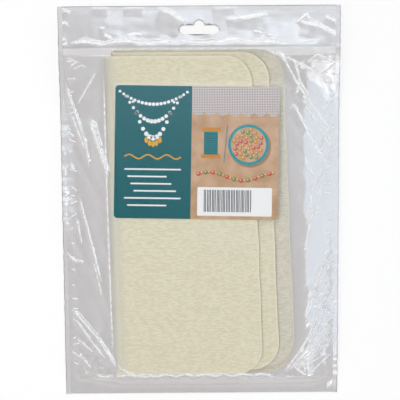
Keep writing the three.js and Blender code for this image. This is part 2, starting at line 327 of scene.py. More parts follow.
def lift(x, y, flap):
    inside = np.clip(halfWidth(y) - np.abs(x), 0, None)
    side = np.where(x > 0, 40.0, 0.0)  # each weld puckers in its own way
    short, long = slack["puckerWaves"]
    pucker = (swell(side, y, short, 11) * 0.65 + swell(side, y, long, 12) * 0.5) * np.where(x > 0, 1.0, 0.6)
    body = 1 - 0.75 * ease(94, 100, y)
    z = slack["pucker"] * body * pucker * np.exp(-inside / slack["puckerReach"]) * ease(0.0, 0.5, flap)
    sag = np.where(x > 0, slack["swell"][1], slack["swell"][0]) * body * swell(x, y, slack["swellWave"], 21)
    z = z + sag * flap * ease(-bag["top"], -100, y) * ease(0, 16, inside + 4)
    curl = ease(-35, -5, y) * ease(78, 50, y) * (0.75 + 0.25 * swell(side, y, slack["curlWave"], 13))
    z = z + np.where(x < 0, slack["curl"] * curl * ease(slack["curlReach"], 0, inside), 0)
    # the seal stands up in the middle, and the film tucks in above it along a wavy foot
    middle = ease(0, slack["sealReach"], inside)
    tuck = 0.6 + 0.16 * swell(x, y, 30.0, 31) + 0.06 * swell(x, y, 9.0, 33)
    foot = 104.6 + 1.8 * swell(x, y, 22.0, 34) + 0.9 * swell(x, y, 8.0, 35)
    tucked = 1 - tuck * ease(98.3, foot, y)
    rise = ease(74, 97.5, y) * tucked * (1 - ease(100, bag["top"], y) * (1 - 0.3 * tuck))
    z = z + slack["seal"] * rise * middle
    wave = 0.5 + 0.5 * swell(x, y, slack["headerWave"], 32, stretch=1.5, turn=35)
    return z + slack["header"] * wave * ease(97, 106, y) * (0.25 + 0.75 * middle)


# creases that show: slope of the steep side, its width in mm, then x and y of each point along it in mm
creaseRows = {
    "front": [
        (0.62, 1.6, -85.9, 77.6, -83.9, 67.9, -72.8, 35.9, -70.9, 19.8),
        (0.6, 1.3, -82.6, 56.3, -73.4, 31.7), (0.66, 2.8, -71, 53.8, -64, 31.3, -58.3, 13.4),
        (0.5, 0.9, -67, 52, -62, 33), (0.4, 1, -65.7, 82.6, -78.6, 61.5),
        (0.62, 0.9, -78.1, 4.7, -63, -54.7), (0.5, 1, -86, -33, -81.5, -38, -74.5, -39.3),
        (0.62, 2, -84, -67.9, -66.8, -87.2, -54.8, -105.2, -52.9, -109),
        (0.6, 1.3, -81.6, -74.2, -70.1, -90.4, -60.5, -102),
        (0.5, 1.2, -68.3, -111.5, -62, -112.6, -55.5, -111.6), (0.5, 1.6, -84, -95.5, -76, -101, -70, -108),
        (0.45, 1.2, -80, -88, -69, -97), (0.55, 1.4, -83.5, 24, -80.8, 20), (0.5, 0.7, -79, -12, -76, -28),
        (0.4, 0.7, -69, -38, -63, -62), (0.4, 0.8, -84, 91.2, -79.5, 88.8),
        (0.35, 0.8, -82.5, 86, -77.5, 89), (0.3, 0.7, -80.5, 84, -75, 86.6, -72, 84.8),
        (0.42, 0.8, -54.1, -101.6, -51.5, -107.3, -41.3, -112.1, -29.7, -112.6),
        (0.16, 0.6, -61.4, 84, -60, 20, -58.4, -40, -56.4, -104),
        (0.22, 1.2, 52.5, 92, 63.8, 86.4, 71.5, 82.8, 85.6, 74.6),
        (0.2, 1.1, 67.4, 86.4, 75, 92.4, 86.4, 87.2), (0.3, 1.4, 49.5, 94.2, 52.5, 91.5, 55, 87),
        (0.2, 1, 77.2, 78.4, 87.5, 86.8), (0.36, 0.9, 53.6, 90.4, 63, 72.4, 69, 64),
        (-0.26, 0.9, 66.5, 67.6, 73.6, 58, 83.4, 45.6), (0.36, 0.9, 77.1, 55, 86.8, 67.6),
        (0.32, 1, 59.6, 61.4, 67.3, 46.2, 70.4, 40.8), (-0.26, 1, 68.6, 43.9, 75.3, 32.2, 83, 22),
        (0.08, 0.9, 82, 27, 77, 7, 73.6, -11), (0.2, 0.7, 75.6, 32, 80, 42, 86.4, 48),
        (0.1, 1.1, 84.1, -29.3, 76.3, -46.6, 66.5, -77.3), (0.08, 0.8, 82.9, -31, 74.6, -48, 65.4, -76),
        (0.1, 0.9, 85.3, -38.9, 71, -58), (0.1, 0.8, 72, -4, 66, -34), (0.1, 0.7, 86.5, 38, 72, 8, 69, -10),
        (0.12, 0.9, 85, -52, 70, -84, 58, -104), (-0.2, 0.7, 64, 66, 86, 30), (0.24, 0.7, 66, 28, 74, 12),
        (0.28, 0.8, 62, 78, 70, 66), (0.36, 0.8, 60, 84, 66, 88), (0.28, 1, 60, 90, 64, 76, 61, 66),
        (0.36, 0.9, 58, -106, 66, -112), (0.2, 0.8, 84, -98, 70, -110),
        (0.24, 0.7, 67, -58, 74, -62, 84, -58), (-0.2, 0.7, 69, -66, 85, -74),
    ],
    "back": [
        (0.3, 1.8, -84, 40, -66, 2), (0.3, 1.8, -83, -20, -62, -60), (0.3, 2, 84, 20, 62, -20),
        (0.3, 2, 82, -50, 60, -78),
    ],
    "header": [
        (0.28, 2.2, -27.2, 122.3, -18.2, 119.9, -14.3, 116.7, -8.6, 113.6),
        (0.22, 1.8, 15.8, 115.4, 30, 116, 44.6, 118.6), (0.26, 0.9, 61.9, 112.9, 68.9, 118.6),
        (0.24, 1.7, 70, 113, 78, 110, 87.5, 104.8), (0.24, 1, 64, 113.5, 75, 110.5),
        (0.24, 1.2, 80, 116.5, 88, 113.5), (0.35, 0.9, -63.6, 110.6, -60, 109.8),
        (0.3, 1.2, -60.8, 105.6, -55.5, 103.6), (0.3, 1.2, -46, 105, -41, 106.2, -36.5, 105.6),
        (0.3, 0.9, 43.3, 105.4, 48.4, 105), (0.3, 0.7, 35, 107.8, 39.8, 107),
        (0.4, 1, -68.5, 122.6, -57.5, 122.4), (0.4, 0.9, -48.5, 122.3, -35, 122.3),
        (0.42, 1, -87.4, 122, -82, 120.2), (0.42, 0.9, -89, 112, -85, 114.6),
        (0.42, 0.8, -89, 102.4, -85.4, 103.6), (0.42, 0.7, -88.6, 99.6, -84, 100.4),
        (0.24, 1.2, 8, 121.8, 24, 122.2),
        (0.32, 1, -84, 100.4, -72, 101.4, -60, 100.6, -49, 101.7, -36, 100.7, -16, 101.4),
        (0.32, 1, -13, 101.6, 0, 100.6, 14, 101.8), (0.26, 0.8, 20, 100.8, 34, 101.3, 52, 100.6),
    ],
}
creases = {part: [(np.reshape(line, (-1, 2)), slope, width) for slope, width, *line in rows]
           for part, rows in creaseRows.items()}
# short ticks where the hot knife drew the film in along the side welds
ticks = {"from": -106, "over": 196, "inset": 2.9, "long": (2.0, 6.0), "tilt": 40, "width": (0.4, 0.7)}
dice = np.random.RandomState(17)
for side, count, slope in ((-1, 24, 0.36), (1, 26, 0.14)):
    for k in range(count):
        y = ticks["from"] + ticks["over"] * (k + dice.uniform(0.1, 0.9)) / count
        start, long = side * (86.6 + 0.0133 * y - ticks["inset"]), dice.uniform(*ticks["long"])
        angle = radians(dice.uniform(-ticks["tilt"], ticks["tilt"]))
        tick = [(start, y), (start - side * long * cos(angle), y + long * sin(angle))]
        creases["front"].append((tick, slope, dice.uniform(*ticks["width"])))
# a bundle of strands where the slack runs into the bottom right corner
for k in range(7):
    drift, start = 2.2 * k + dice.uniform(-0.8, 0.8), dice.uniform(0, 9)
    strand = [(78 + 0.9 * drift - 0.5 * start, -70 - 0.5 * drift - 0.7 * start),
              (64.5 + drift, -94 - 0.4 * drift), (52 + drift, -111 + 0.3 * drift)]
    creases["front"].append((strand, dice.uniform(0.14, 0.3), dice.uniform(0.6, 0.9)))
# a rope of crossing folds where the film turns down over the mats' bottom ends
ropeY = -111.6
for k in range(16):
    start, tilt = -55 + 6.2 * k, (-1) ** k * dice.uniform(0.4, 1.1)
    strand = [(start, ropeY - tilt), (start + dice.uniform(6, 10), ropeY + tilt)]
    creases["front"].append((strand, 0.5, dice.uniform(0.6, 0.9)))


# each crease is a roof with a steep side, fading to its ends; its crest gets a painted glint, white in broken
# dashes
def ridges(x, y, part):
    height, white = np.zeros(x.shape), np.zeros(x.shape)
    for path, slope, width in creases[part]:
        zone = zoneOf(part, path)
        nearest, ends, side = along(x, y, path, glintWay * np.sign(slope))
        roof = np.clip(1 - nearest / np.where(side > 0, width, width * backRun[zone]), 0, 1)
        height = height + abs(slope) * width * ends * roof
        reach = (0.42 + 0.32 * width) * paintedGlintReach[zone]
        white = np.maximum(white, ends * np.clip(1.6 - 1.6 * nearest / reach, 0, 1))
    return height, white * (0.7 + 0.3 * swell(x, y, 5.0, 91))


# polypropylene film, cast and chill-rolled: clear, about 4 percent mirror at each face, sharp white glints;
# haze is how milky it is in clouds of so many mm, and the painted-glint setting how white its crease crests
# are painted, as glints
castFilm = {"tint": "#fdfdfd", "mirror": 0.04, "roughness": 0.17, "milk": "#f2f2f2", "cloud": 9.0,
            "haze": (0.0, 0.006), "stress": 0.0}


def filmMaterial(name, **changes):
    look = castFilm | changes
    material, add, spot = newMaterial(name)
    facing = add("LayerWeight", {"Blend": 0.5}).outputs["Facing"]
    rim = add("Math", {0: facing, 1: 5.0}, operation="POWER")
    mirror = add("Math", {0: rim, 1: 1 - look["mirror"], 2: look["mirror"]}, operation="MULTIPLY_ADD")
    through = add("BsdfTransparent", {"Color": linear(look["tint"])})
    shine = add("BsdfAnisotropic", {"Color": linear("#ffffff"), "Roughness": look["roughness"]})
    clear = add("MixShader", {0: mirror, 1: through, 2: shine})
    milk = add("BsdfDiffuse", {"Color": linear(look["milk"])})
    cloud = add("TexNoise", {"Vector": spot, "Scale": 1 / (look["cloud"] * mm), "Detail": 3.0})
    haze = add("MapRange", {"Value": cloud, "From Min": 0.3, "From Max": 0.7, "To Min": look["haze"][0],
                            "To Max": look["haze"][1]})
    stress = add("Attribute", attribute_name="stress").outputs["Fac"]
    white = add("Math", {0: stress, 1: look["stress"], 2: haze}, operation="MULTIPLY_ADD")
    surface = add("MixShader", {0: white, 1: clear, 2: milk})
    add("OutputMaterial", {0: surface})
    return material


# this film's crease crests carry painted glints: white diffuse in place of reflections
clearFilm = filmMaterial("cast polypropylene film", stress=1.0)
# fine scratches blur its gloss; its grey tint is painted shade, for the shaded table seen through the bag
backFilmPaintedShade = filmMaterial("cast polypropylene film, scuffed by the table", tint="#e8e6e6", mirror=0.02,
                            roughness=0.4, cloud=7.0, haze=(0.0, 0.01))
# a little grey, as painted shade under the raised header, still glossy, with painted glints on its creases
mouthBandPaintedShade = filmMaterial("cast polypropylene film, dulled by the seal bar", tint="#f2f1f1", roughness=0.2,
                          stress=1.0)
# a milky white line along the back panel's top edge
cutEdge = filmMaterial("cast polypropylene film, guillotined edge", tint="#f4f4f4", roughness=0.3,
                       milk="#f4f4f4", cloud=3.0, haze=(0.5, 0.95))
# melted and drawn together: the bead along a hot cut is thick and grey, the seam beside it paler
fusedBead = filmMaterial("heat-fused polypropylene bead", tint="#b4b3b5", mirror=0.045, roughness=0.25,
                         milk="#e8e9ea", cloud=0.8, haze=(0.0, 0.05))
fusedFilm = filmMaterial("heat-fused polypropylene seam", tint="#e9e8e8", mirror=0.045, roughness=0.2,
                         milk="#f4f5f6", cloud=0.8, haze=(0.0, 0.04))
# pressed between ribbed bars: two plies made one, faintly grey
sealFilm = filmMaterial("crimped polypropylene seal", tint="#e3e2e2", roughness=0.2, milk="#f4f5f6",
                        cloud=0.8, haze=(0.0, 0.03))

# rows of points up the bag, close together where the film turns over the contents
bodyRows = np.r_[np.linspace(bag["bottomY"], -106, 30)[:-1], np.linspace(-106, 78, 206)[:-1],
                 np.linspace(78, 97.4, 30)]


def flapGrid(rows, rightEdge, steps):
    edge = filmEdge(rows)
    start, end = (x - bag["lean"] * rows[:, None] for x in (leftEdge, rightEdge))
    flaps = np.linspace(0, 1, steps[0])
    ends = [0.005, 0.013, 0.03]  # close together where the film leaves the contents
    middle = np.r_[ends, np.linspace(0.06, 0.94, steps[1]), [0.97, 0.987, 0.995]]
    left, right = mix(-edge[:, None], start, flaps), mix(end, edge[:, None], flaps)
    x = np.concatenate([left, mix(start, end, middle), right], 1)
    flap = np.r_[1 - flaps, 0 * middle, flaps]
    return x, 0 * x + rows[:, None], 0 * x + flap


def filmPiece(name, x, y, z, gauge, material, faces=None, white=None):
    low = np.stack([x, y, z], -1)
    high = low + np.array([0, 0, gauge])
    piece = closedSheet(name, low, high, gridFaces(*x.shape) if faces is None else faces, material, 36)
    # the crease crests' painted glints, stored on the points for the film material
    if white is not None:
        piece.data.attributes.new("stress", "FLOAT", "POINT").data.foreach_set("value", np.tile(white, 2))
    return piece


# triangles over scattered points inside a border, less a hole
def triangulate(border, hole, points, isHole=None):
    nb, nh = len(border), len(hole)
    edges = [(k, (k + 1) % nb) for k in range(nb)] + [(nb + k, nb + (k + 1) % nh) for k in range(nh)]
    corners = [Vector(p) for p in [*border, *hole, *points]]
    flat, _, faces, *_ = geometry.delaunay_2d_cdt(corners, edges, [], 1, 1e-5)
    flat = np.array([tuple(p) for p in flat])
    faces = np.array([f for f in faces if len(f) == 3])
    if isHole:
        middle = flat[faces].mean(1)
        faces = faces[~isHole(*middle.T)]
    a, b, c = (flat[faces[:, k]] for k in range(3))
    turned = (b[:, 0] - a[:, 0]) * (c[:, 1] - a[:, 1]) - (b[:, 1] - a[:, 1]) * (c[:, 0] - a[:, 0]) < 0
    faces[turned] = faces[turned][:, ::-1]
    used = np.unique(faces)
    renumber = np.zeros(len(flat), int)
    renumber[used] = np.arange(len(used))
    return flat[used], renumber[faces]


# the border of a grid, counterclockwise, and the points inside it, with those of the creases
def scatter(x, y, part, keep=None):
    grid = np.stack([x, y], -1)
    border = np.concatenate([grid[0, :-1], grid[:-1, -1], grid[-1, :0:-1], grid[:0:-1, 0]])
    points = np.concatenate([creasePoints(part), grid[1:-1, 1:-1].reshape(-1, 2)])
    _, first = np.unique(np.round(points / 0.3), axis=0, return_index=True)
    points = points[np.sort(first)]
    low, high = y[0, 0] + 0.2, y[-1, 0] - 0.2
    inside = (points[:, 1] > low) & (points[:, 1] < high)
    inside &= np.abs(points[:, 0]) < halfWidth(points[:, 1]) - bag["weld"] - 0.15
    if keep:
        inside &= keep(*points.T)
    return border, points[inside]


# 0 over the contents, 1 at the side welds
def flapAt(x, y, rightEdge):
    lean = -bag["lean"] * y
    left, right = leftEdge + lean, rightEdge + lean
    edge = filmEdge(y)
    return np.clip(np.maximum((left - x) / (left + edge), (x - right) / (edge - right)), 0, 1)


# front panel: lies on the card and the mats, falls to the welds and to the bottom fold
gx, gy, _ = flapGrid(bodyRows, bag["plateauRight"], (36, 14))
border, points = scatter(gx, gy, "front")
flat, faces = triangulate(border, [], points)
x, y = flat.T
flap = flapAt(x, y, bag["plateauRight"])
down = np.clip((bag["contentsY"] - y) / (bag["contentsY"] - bag["bottomY"]), 0, 1)
slant = np.where(x > 0, slide(flap), hug(flap))
z = mix(bag["level"], weldLevel(x, y) + 0.05, slant)
loose = ease(0.03, 0.3, flap) * ease(1.0, 0.8, flap)
facets = np.where(x > 0, 0.2, 0.6) * crumple(x, y, 26.0, 41, stretch=2.0, turn=-60)
facets = facets + np.where(x > 0, 0.06, 0.16) * crumple(x, y, 8.0, 42)
corner = ease(-70, -100, y) * ease(0.15, 0.5, flap) * ease(0.4, 0.05, down)
facets = facets + corner * np.where(x > 0, 0.4, 1.1) * crumple(x, y, 10.0, 44)
z = mix(z, 2 * bag["fold"] - bag["gauge"], 1 - (1 - down) ** 2.8)  # clings to the mats' ends first
roofs, white = ridges(x, y, "front")
z = z + lift(x, y, flap) * (1 - ease(0.5, 1, down)) + loose * facets * (1 - down) + roofs * (1 - down)
z = z + 0.35 * (0.5 + 0.5 * swell(x, y, 16.0, 43)) * np.sin(pi * np.clip(down, 0, 1)) ** 2
frontFilm = filmPiece("film_front", x, y, z, bag["gauge"], clearFilm, faces, white)

# back panel: flat on the table under the mats, up to the welds at its sides, free at the mouth
rows = np.append(bodyRows[bodyRows < bag["lipY"] - 0.2], [bag["lipY"] - 0.05, bag["lipY"] + 0.6])
x, y, flap = flapGrid(rows, bag["backRight"], (40, 24))
z = (weldLevel(x, y) - 0.05 - bag["gauge"]) * fall(flap)
loose = ease(0.05, 0.4, flap) * ease(1.0, 0.8, flap)
buckle = 0.5 * crumple(x, y, 20.0, 51, stretch=1.6, turn=50) + ridges(x, y, "back")[0]
z = z + np.minimum(lift(x, y, flap), 3) * ease(96, 80, y) - loose * buckle
z = np.maximum(z, 0.0)
backFilm = filmPiece("film_back", x, y, z, bag["gauge"], backFilmPaintedShade)
print("panels ready")

# bottom fold: the web of film turned up round the bottom edge
foldEnd = halfWidth(-bag["top"]) - bag["weld"]
across = np.linspace(-foldEnd, foldEnd, 120)
turns = np.linspace(-pi / 2, -3 * pi / 2, 13)


def foldWall(radius):
    y = -bag["top"] + bag["fold"] + 0.15 + radius * np.cos(turns)
    z = bag["fold"] + radius * np.sin(turns)
    return np.stack([0 * y[:, None] + across, y[:, None] + 0 * across, z[:, None] + 0 * across], -1)


bottomFold = closedSheet("film_bottom_fold", foldWall(bag["fold"] - bag["gauge"]), foldWall(bag["fold"]),
                         gridFaces(len(turns), len(across))[:, ::-1], clearFilm)


# a second look on part of a piece
def addLook(piece, look, isThere):
    piece.data.materials.append(look)
    for polygon in piece.data.polygons:
        polygon.material_index = int(isThere(polygon.center))


# the single ply above the mouth, clear of the mats' top ends, where the film's tint carries painted shade
matTop = {"left": -55.8, "end": 96.3, "corner": (37, 79.5), "radius": 17.3}


def isMouthBandShaded(p):
    x, y = p.x / mm, p.y / mm
    cornerX, cornerY = matTop["corner"]
    withinCorner = x < cornerX or hypot(x - cornerX, y - cornerY) < matTop["radius"]
    onMats = x > matTop["left"] and y < matTop["end"] and withinCorner
    return y > bag["lipY"] and not onMats


addLook(bottomFold, backFilmPaintedShade, lambda p: p.z / mm < bag["fold"])
# the single ply above the mouth gets the tint with painted shade
addLook(frontFilm, mouthBandPaintedShade, isMouthBandShaded)
addLook(backFilm, cutEdge, lambda p: p.y / mm > bag["lipY"] - 0.05)


# side welds: cut and sealed by a hot knife, drawn into small puckers, with a thin bead along the cut
weldRows = np.linspace(-bag["top"], bag["top"], 420)
weldSteps = np.array([0, 0.6, 1.2, 1.8, 2.3, 2.65, 3.0])  # closer towards the cut
hotKnife = {"nick": 0.16, "nickWave": 7.0, "droop": 0.24, "rib": 0.06, "ribWave": 1.4, "bead": 0.4}
weldPieces = []
for name, side in (("weld_left", -1), ("weld_right", 1)):
    nick = hotKnife["nick"] * swell(0 * weldRows + side * 9, weldRows, hotKnife["nickWave"], 71)
    edge = side * (halfWidth(weldRows) - bag["weld"])
    x = edge[:, None] + side * weldSteps + side * nick[:, None] * (weldSteps / bag["weld"]) ** 2
    x = x if side > 0 else x[:, ::-1]
    y = 0 * x + weldRows[:, None]
    z = weldLevel(x, y) + lift(x, y, 1.0) - bag["gauge"]
    if side > 0:
        past = np.abs(x) - halfWidth(y) + bag["weld"]
        z = z - hotKnife["droop"] * past * ease(97, 80, y) * ease(-bag["top"], -100, y)
    inward = np.clip((halfWidth(y) - np.abs(x)) / bag["weld"], 0, 1)
    z = z + hotKnife["rib"] * np.sin(2 * pi * y / hotKnife["ribWave"]) * np.sin(pi * inward)
    piece = filmPiece(name, x, y, np.maximum(z, 0.02), 2 * bag["gauge"], fusedFilm)
    addLook(piece, fusedBead, lambda p: abs(p.x) / mm > halfWidth(p.y / mm) - hotKnife["bead"])
    weldPieces.append(piece)

# header: two plies with the hang slot punched through both, sealed along the bottom and the top
slot = bag["slot"]
slotR, crownR = slot["height"] / 2, slot["crownWidth"] / 2
slotEnd, crownUp = slot["width"] / 2 - slotR, slotR + slot["crownRise"] - crownR


def arc(x, y, r, start, end, steps=14):
    return [(x + r * cos(t), y + r * sin(t)) for t in np.linspace(start, end, steps)]


def slotOutline(slip):
    y = slot["y"] - slip
    return (arc(slotEnd, y, slotR, -pi / 2, pi / 2) + arc(0, y + crownUp, crownR, 0, pi)
            + arc(-slotEnd, y, slotR, pi / 2, 1.5 * pi))


def insideSlot(x, y, grow):
    y, reach = y - slot["y"], crownR + grow
    bar = np.hypot(np.clip(np.abs(x) - slotEnd, 0, None), y) < slotR + grow
    return bar | (np.hypot(x, y - crownUp) < reach) | ((np.abs(x) < reach) & (y > 0) & (y < crownUp))


def headerPly(name, level, look, slip=0.0):
    rows = np.linspace(bag["sealY"] + 0.9, bag["top"] - bag["sealWidth"] + 0.1, 30)
    gx = np.linspace(-1, 1, 190) * filmEdge(rows)[:, None]
    gy = 0 * gx + rows[:, None]
    border, points = scatter(gx, gy, "header", lambda x, y: ~insideSlot(x, y + slip, 0.45))
    flat, faces = triangulate(border, slotOutline(slip), points, lambda x, y: insideSlot(x, y + slip, -0.02))
    x, y = flat.T
    roofs, white = ridges(x, y, "header")
    z = level + lift(x, y, 1.0) + roofs
    z = z + 0.07 * crumple(x, y, 18.0, 81) * ease(99, 103, y) * ease(122, 118, y)
    return filmPiece(name, x, y, z, bag["gauge"], look, faces, white)


headerBack = headerPly("film_header_back", bag["level"], backFilmPaintedShade, 0.6)  # this ply has slipped a little
headerFront = headerPly("film_header_front", bag["level"] + bag["headerGap"], clearFilm)
addLook(headerFront, fusedBead, lambda p: insideSlot(p.x / mm, p.y / mm, 0.35))  # a dark ring round the slot: painted shadow of its cut edge


# a band pressed by ribbed bars, with ribs 1 mm apart
def sealBand(name, fromY, toY, look, crimp):
    rows = np.linspace(fromY, toY, 9)
    edge = halfWidth(rows) - bag["weld"] + 0.2
    x = np.linspace(-1, 1, 240) * edge[:, None]
    y = 0 * x + rows[:, None]
    z = bag["level"] + 0.1 + lift(x, y, 1.0) + ridges(x, y, "header")[0]
    z = z + crimp * np.sin(2 * pi * y)
    return filmPiece(name, x, y, z, bag["sealGauge"], look)


headerSeal = sealBand("seal_header", bag["sealY"] - 0.5, bag["sealY"] + 1.0, sealFilm, 0.015)
topSeal = sealBand("seal_top", bag["top"] - bag["sealWidth"], bag["top"], fusedFilm, 0.05)
addLook(topSeal, fusedBead, lambda p: p.y / mm > bag["top"] - hotKnife["bead"])
bagPieces = {
    "front_panel": frontFilm, "back_panel": backFilm, "bottom_fold": bottomFold,
    "left_side_weld": weldPieces[0], "right_side_weld": weldPieces[1], "header_seal": headerSeal,
    "header_front_ply": headerFront, "header_back_ply": headerBack, "header_top_seal": topSeal,
}
shadowed = ("film_front", "weld_right", "film_bottom_fold")  # clear film throws hardly a shadow
for cadNode, piece in bagPieces.items():
    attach(piece, "bag")
    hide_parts(cadNode)
    piece.visible_shadow = piece.name in shadowed
print("bag ready")


# short nylon flock, shot upright into glue on foam: matt and velvety, mottled where the pile leans; lean,
# row and tuft are drawn coarser than real fibres, as clumps that show
def pileMaterial(name, look):
    material, add, spot = newMaterial(name)
    lean = add("TexNoise", {"Vector": spot, "Scale": 1 / (look["lean"] * mm), "Detail": 4.0,
                            "Roughness": 0.65})
    combed = add("Mapping", {"Vector": spot, "Scale": (look["comb"], 1.0, 1.0)})
    rows = add("TexNoise", {"Vector": combed, "Scale": 1 / (look["row"] * mm), "Detail": 1.0})
    tuft = add("TexNoise", {"Vector": spot, "Scale": 1 / (look["tuft"] * mm), "Detail": 2.0})
    patch = add("Mix", {0: 0.75, 2: lean, 3: rows})
    tone = add("MapRange", {"Value": patch, "From Min": 0.42, "From Max": 0.58})
    place = add("SeparateXYZ", {0: spot}).outputs
    across = add("Math", {0: place["Y"], 1: bag["lean"], 2: place["X"]}, operation="MULTIPLY_ADD")
    # painted shade round the fold: the pile turns greyer and darker towards the fold's outside
    paintedFoldShade = add("MapRange", {"Value": across, "From Max": bag["foldX"] * mm,
                              "From Min": (bag["foldX"] + look["paintedFoldShade"]) * mm},
                 interpolation_type="SMOOTHSTEP")
    rim = add("Attribute", attribute_name="rim").outputs["Fac"]  # painted highlight along the pile's cut edge
    colour = linear(look["shade"])
    for share, over in ((tone, "lit"), (paintedFoldShade, "foldShadeColour"), (rim, "rim")):
        colour = add("Mix", {0: share, 6: colour, 7: linear(look[over])}, data_type="RGBA")
    height = add("Mix", {0: 0.4, 2: tuft, 3: patch})
    bump = add("Bump", {"Height": height, "Strength": look["bump"], "Distance": 0.25 * mm})
    rough = add("MapRange", {"Value": tuft, "To Min": 0.88, "To Max": 1.0})
    cloth = add("BsdfPrincipled", {
        "Base Color": colour, "Roughness": rough, "Normal": bump, "IOR": 1.5, "Specular IOR Level": 0.2,
        "Sheen Weight": 0.12, "Sheen Roughness": 0.5, "Sheen Tint": linear("#fffdf0")})
    add("OutputMaterial", {0: cloth})
    return material


# a surface whose colour, relief and gloss all follow one pattern
def patterned(material, add, pattern, look):
    (low, high), (glossy, dull) = look["span"], look["rough"]
    tone = add("MapRange", {"Value": pattern, "From Min": low, "From Max": high})
    colour = add("Mix", {0: tone, 6: linear(look["low"]), 7: linear(look["high"])}, data_type="RGBA")
    bump = add("Bump", {"Height": pattern, "Strength": look["bump"], "Distance": look["deep"] * mm})
    rough = add("MapRange", {"Value": pattern, "To Min": glossy, "To Max": dull})
    coat = add("BsdfPrincipled", {"Base Color": colour, "Roughness": rough, "Normal": bump,
                                  "IOR": look["ior"], "Specular IOR Level": look["gloss"]})
    add("OutputMaterial", {0: coat})
    return material


# a wave of so many mm; the node draws 20 radians to a unit
def bands(add, spot, pitch, way, **more):
    inputs = {"Vector": spot, "Scale": pi / 10 / (pitch * mm), "Detail": 1.0} | more
    return add("TexWave", inputs, bands_direction=way).outputs[1]


# polyurethane foam, skived from a block: open cells that show as fine pits on a cut edge
foam = {"low": "#d9d1b2", "high": "#efe9d0", "cell": 0.5, "span": (0.1, 0.7), "bump": 0.6, "deep": 0.15,
        "rough": (0.8, 0.95), "ior": 1.5, "gloss": 0.25}
material, add, spot = newMaterial("skived polyurethane foam")
cells = add("TexVoronoi", {"Vector": spot, "Scale": 1 / (foam["cell"] * mm)})
skivedFoam = patterned(material, add, cells, foam)

# nylon tricot, warp knitted: a fine net that shows only where the laminate is cut, drawn a little coarser
scrim = {"low": "#ded8c2", "high": "#f4f1e4", "wale": 0.6, "course": 0.8, "span": (0.0, 1.0), "bump": 0.5,
         "deep": 0.1, "rough": (0.7, 0.5), "ior": 1.53, "gloss": 0.5}
material, add, spot = newMaterial("warp-knit nylon scrim")
wales = bands(add, spot, scrim["wale"], "X", Distortion=1.5)
courses = bands(add, spot, scrim["course"], "Y", Distortion=1.0)
net = add("Math", {0: wales, 1: courses}, operation="MAXIMUM")
knitScrim = patterned(material, add, net, scrim)

# the lining's flock is greyer and darker than the face's, as painted shade on the low strip of lining that
# shows, and its cut edge gets no painted highlight
# the flock's fold colour and the reach in mm beside it are painted shade round the mats' fold
flock = {"foldShadeColour": "#d9d6c7", "paintedFoldShade": 11.0, "lean": 0.9, "row": 0.8, "comb": 0.26, "tuft": 0.7, "bump": 0.35}
# the face pile's rim colour is a painted highlight along its cut edge
faceFlock = flock | {"lit": "#f1ead3", "shade": "#e5dec1", "rim": "#fdf7e0"}
liningFlockPaintedShade = flock | {"lit": "#e6e1d1", "shade": "#d8d3c1", "rim": "#e6e1d1"}
matLooks = {
    "pile": pileMaterial("flocked nylon pile, cream", faceFlock),
    "lining": pileMaterial("flocked nylon pile, cream greyed with painted shade", liningFlockPaintedShade),
    "foam": skivedFoam, "scrim": knitScrim,
}

# one mat laid open, and its plies from the outside of the fold inwards: name, kind, depth of its two faces
cut = {"length": 203.2, "width": 210.0, "corner": 17.0, "thick": 2.2, "pinch": 0.32, "pinchReach": 0.7,
       "rimHighlightReach": 0.8}
plies = [("face_pile", "pile", 0.0, 0.2), ("face_foam", "foam", 0.25, 0.95), ("scrim", "scrim", 1.0, 1.2),
         ("lining_foam", "foam", 1.25, 1.95), ("lining_pile", "lining", 2.0, 2.2)]
mats = {
    "outer": {"foldX": -58.29, "radius": 4.85, "bottom": -111.0, "front": 94.4, "skew": 0.0, "seed": 101},
    "inner": {"foldX": -53.79, "radius": 2.35, "bottom": -108.4, "front": 100.3, "skew": 2.0, "seed": 131},
}
foldLevel = 5.3


# stations across a folded mat, from the back leaf's free edge round the fold to the front leaf's
def matStations(mat, spacing):
    front = mat["front"] - mat["radius"]
    bend = pi * (mat["radius"] - cut["thick"] / 2)
    back = cut["width"] - bend - front
    corner = cut["corner"] * (1 - np.cos(np.linspace(0, pi / 2, 16)))

    def leaf(length):
        steps = max(4, round(length / spacing))
        return np.r_[corner, np.linspace(cut["corner"], length, steps)[1:]]

    backGap, frontGap, bendShare = leaf(back), leaf(front)[::-1], np.linspace(0, 1, 25)[1:-1]
    run = np.r_[back - backGap, 0 * bendShare, front - frontGap]
    share = np.r_[0 * backGap, bendShare, 0 * frontGap + 1]
    edgeGap = np.r_[backGap, 0 * bendShare + 60.0, frontGap]  # the bend is far from any edge
    return run, share, edgeGap


